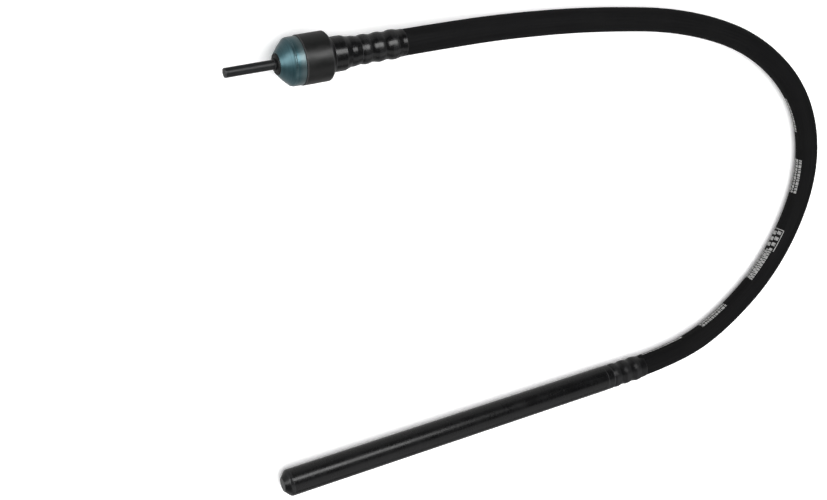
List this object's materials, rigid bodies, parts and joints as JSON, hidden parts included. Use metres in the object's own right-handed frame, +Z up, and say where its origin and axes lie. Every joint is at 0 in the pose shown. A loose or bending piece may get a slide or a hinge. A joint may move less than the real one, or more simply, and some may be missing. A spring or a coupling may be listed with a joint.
{
  "type": "concrete vibrator",
  "caption": "Drill-driven concrete vibrator: round shank, bearing coupling with a teal nose cap, rubber flexible-shaft hose and slim black poker head with an eccentric rotor.",
  "frame": {"origin": "on the surface the object lies on, under the middle of the rigid pieces (coupling and poker head, without the hose)", "axes": "+X along both turning axes, from the shank towards the hose; +Y from the poker head towards the coupling; +Z up"},
  "size_m": [0.6458, 0.4181, 0.0411],
  "materials": {
    "shank_steel": "black-oxide steel, satin, with fine turning lines",
    "nose_teal": "teal metallic anodised aluminium, turned, semi-gloss",
    "collar_black": "black anodised, satin",
    "neck_black": "smooth black, semi-gloss",
    "ferrule_black": "crimped steel, glossy black",
    "hose_rubber": "matte black rubber with a fine lengthwise grain and plain white print marks",
    "liner_steel": "spiral-wound steel strip",
    "core_steel": "wound spring-steel wire, greased",
    "head_black": "semi-gloss black steel",
    "seal_rubber": "nitrile rubber, satin",
    "spring_steel": "phosphated spring steel",
    "machined_steel": "turned steel",
    "bearing_steel": "ground bearing steel",
    "ball_steel": "polished balls",
    "cage_steel": "pressed steel"
  },
  "bodies": {
    "housing": {"coupling_front_bearing_outer_ring": "bearing_steel", "coupling_rear_bearing_outer_ring": "bearing_steel", "drive_ferrule": "ferrule_black", "dust_seal": "seal_rubber", "flexible_core": "core_steel", "grip_collar": "collar_black", "head_adapter": "head_black", "head_bearing_spacer": "machined_steel", "head_end_bearing_outer_ring": "bearing_steel", "head_ferrule": "ferrule_black", "head_front_bearing_outer_ring": "bearing_steel", "head_front_circlip": "spring_steel", "head_o_ring": "seal_rubber", "head_rear_bearing_outer_ring": "bearing_steel", "head_rear_circlip": "spring_steel", "head_shaft_seal": "seal_rubber", "head_tube": "head_black", "hose_cover": "hose_rubber", "hose_liner": "liner_steel", "hose_neck": "neck_black", "neck_o_ring": "seal_rubber", "nose_cap": "nose_teal", "nose_o_ring": "seal_rubber", "outer_spacer": "machined_steel", "spindle_lip_seal": "seal_rubber", "tip_o_ring": "seal_rubber", "tip_plug": "head_black"},
    "spindle": {"drive_spindle": "shank_steel", "spindle_circlip": "spring_steel", "inner_spacer": "machined_steel", "core_drive_end": "machined_steel", "coupling_front_bearing_inner_ring": "bearing_steel", "coupling_rear_bearing_inner_ring": "bearing_steel"},
    "rotor": {"eccentric_rotor": "machined_steel", "core_head_end": "machined_steel", "head_front_bearing_inner_ring": "bearing_steel", "head_rear_bearing_inner_ring": "bearing_steel", "head_end_bearing_inner_ring": "bearing_steel"},
    "coupling_front_bearing_cage_set": {"coupling_front_bearing_cage": "cage_steel", "coupling_front_bearing_balls": "ball_steel"},
    "coupling_rear_bearing_cage_set": {"coupling_rear_bearing_cage": "cage_steel", "coupling_rear_bearing_balls": "ball_steel"},
    "head_front_bearing_cage_set": {"head_front_bearing_cage": "cage_steel", "head_front_bearing_balls": "ball_steel"},
    "head_rear_bearing_cage_set": {"head_rear_bearing_cage": "cage_steel", "head_rear_bearing_balls": "ball_steel"},
    "head_end_bearing_cage_set": {"head_end_bearing_cage": "cage_steel", "head_end_bearing_balls": "ball_steel"}
  },
  "joints": [
    {"name": "spindle_spin", "type": "hinge", "parent": "housing", "child": "spindle", "pos_m": [-0.13, 0.1885, 0.0205], "axis": [1, 0, 0], "continuous": true},
    {"name": "rotor_spin", "type": "hinge", "parent": "housing", "child": "rotor", "pos_m": [-0.03, -0.1965, 0.0125], "axis": [-1, 0, 0], "continuous": true},
    {"name": "coupling_front_bearing_cage_spin", "type": "hinge", "parent": "housing", "child": "coupling_front_bearing_cage_set", "pos_m": [-0.136, 0.1885, 0.0205], "axis": [1, 0, 0], "continuous": true},
    {"name": "coupling_rear_bearing_cage_spin", "type": "hinge", "parent": "housing", "child": "coupling_rear_bearing_cage_set", "pos_m": [-0.126, 0.1885, 0.0205], "axis": [1, 0, 0], "continuous": true},
    {"name": "head_front_bearing_cage_spin", "type": "hinge", "parent": "housing", "child": "head_front_bearing_cage_set", "pos_m": [-0.1755, -0.1965, 0.0125], "axis": [-1, 0, 0], "continuous": true},
    {"name": "head_rear_bearing_cage_spin", "type": "hinge", "parent": "housing", "child": "head_rear_bearing_cage_set", "pos_m": [0.1108, -0.1965, 0.0125], "axis": [-1, 0, 0], "continuous": true},
    {"name": "head_end_bearing_cage_spin", "type": "hinge", "parent": "housing", "child": "head_end_bearing_cage_set", "pos_m": [0.1248, -0.1965, 0.0125], "axis": [-1, 0, 0], "continuous": true}
  ],
  "couplings": [
    {"joint": "rotor_spin", "follows": "spindle_spin", "ratio": 1},
    {"joint": "coupling_front_bearing_cage_spin", "follows": "spindle_spin", "ratio": 0.38095},
    {"joint": "coupling_rear_bearing_cage_spin", "follows": "spindle_spin", "ratio": 0.38095},
    {"joint": "head_front_bearing_cage_spin", "follows": "spindle_spin", "ratio": 0.34735},
    {"joint": "head_rear_bearing_cage_spin", "follows": "spindle_spin", "ratio": 0.34735},
    {"joint": "head_end_bearing_cage_spin", "follows": "spindle_spin", "ratio": 0.34735}
  ]
}
